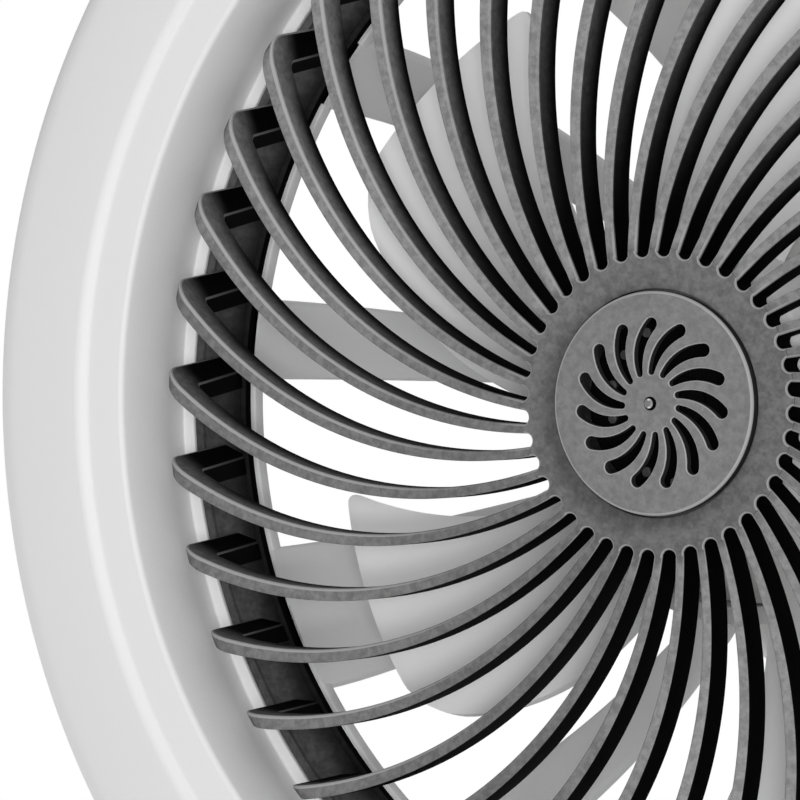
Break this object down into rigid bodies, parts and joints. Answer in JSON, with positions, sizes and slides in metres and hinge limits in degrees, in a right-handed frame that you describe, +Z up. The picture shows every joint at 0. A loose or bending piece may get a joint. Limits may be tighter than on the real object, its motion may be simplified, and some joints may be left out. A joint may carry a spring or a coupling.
{
  "type": "ceiling fan",
  "caption": "Compact ceiling fan with a bladed impeller behind a spiral-ribbed dark grille in a round white ring casing, hung by a short stem from a canopy and ceiling bracket.",
  "frame": {"origin": "the middle of the ceiling bracket's top face, on the spin axis", "axes": "+Z up towards the ceiling, +X along the bracket strap, the grille facing -Z"},
  "size_m": [0.2644, 0.2644, 0.1344],
  "materials": {
    "white_plastic": "satin moulded plastic, fine texture",
    "dark_plastic": "matt moulded plastic",
    "grey_plastic": "satin moulded plastic",
    "pale_plastic": "smooth pale moulded plastic",
    "black_steel": "black painted pressing",
    "magnet": "bonded ferrite",
    "zinc_steel": "bright zinc plate",
    "bright_rivet": "plain drawn aluminium",
    "ground_steel": "ground and polished",
    "brass_tube": "turned",
    "lamination": "stacked electrical steel, oiled",
    "insulator": "natural nylon",
    "copper_wire": "enamelled copper wire",
    "circuit_board": "green solder mask",
    "black_plastic": "moulded epoxy",
    "white_metal": "white powder coat",
    "galvanised_steel": "galvanised strip",
    "black_rubber": "moulded rubber",
    "terminal_plastic": "natural nylon",
    "brass_screw": "plated brass",
    "capacitor_sleeve": "shrunk plastic sleeve",
    "transformer_tape": "wound tape"
  },
  "bodies": {
    "housing": {"front_bezel": "white_plastic", "rear_housing": "white_plastic", "bezel_screws": "zinc_steel", "grille": "dark_plastic", "grille_legs": "dark_plastic", "grille_base": "dark_plastic", "grille_screws": "zinc_steel", "hub_cap": "grey_plastic", "front_bearing": "ground_steel", "rear_bearing": "ground_steel", "bearing_holder": "brass_tube", "stator_core": "lamination", "stator_insulators": "insulator", "stator_windings": "copper_wire", "motor_board": "circuit_board", "hall_sensors": "black_plastic", "motor_base": "white_plastic", "motor_screws": "zinc_steel", "stem": "white_metal", "stem_screws": "zinc_steel", "stem_washer": "zinc_steel", "stem_nut": "zinc_steel", "motor_cover": "white_plastic", "cover_grub_screw": "zinc_steel", "canopy": "white_metal", "canopy_screws": "zinc_steel", "ceiling_bracket": "galvanised_steel", "cable_grommet": "black_rubber", "terminal_block": "terminal_plastic", "terminal_screws": "brass_screw", "driver_case": "white_plastic", "driver_lid": "white_plastic", "driver_board": "circuit_board", "driver_capacitor": "capacitor_sleeve", "driver_transformer": "transformer_tape"},
    "rotor": {"impeller": "pale_plastic", "rotor_can": "black_steel", "rotor_magnet": "magnet", "rotor_boss": "black_steel", "hub_rivets": "bright_rivet", "motor_shaft": "ground_steel", "shaft_clip": "zinc_steel"}
  },
  "joints": [
    {"name": "impeller_spin", "type": "hinge", "parent": "housing", "child": "rotor", "pos_m": [0, 0, -0.1], "axis": [0, 0, 1], "continuous": true}
  ]
}
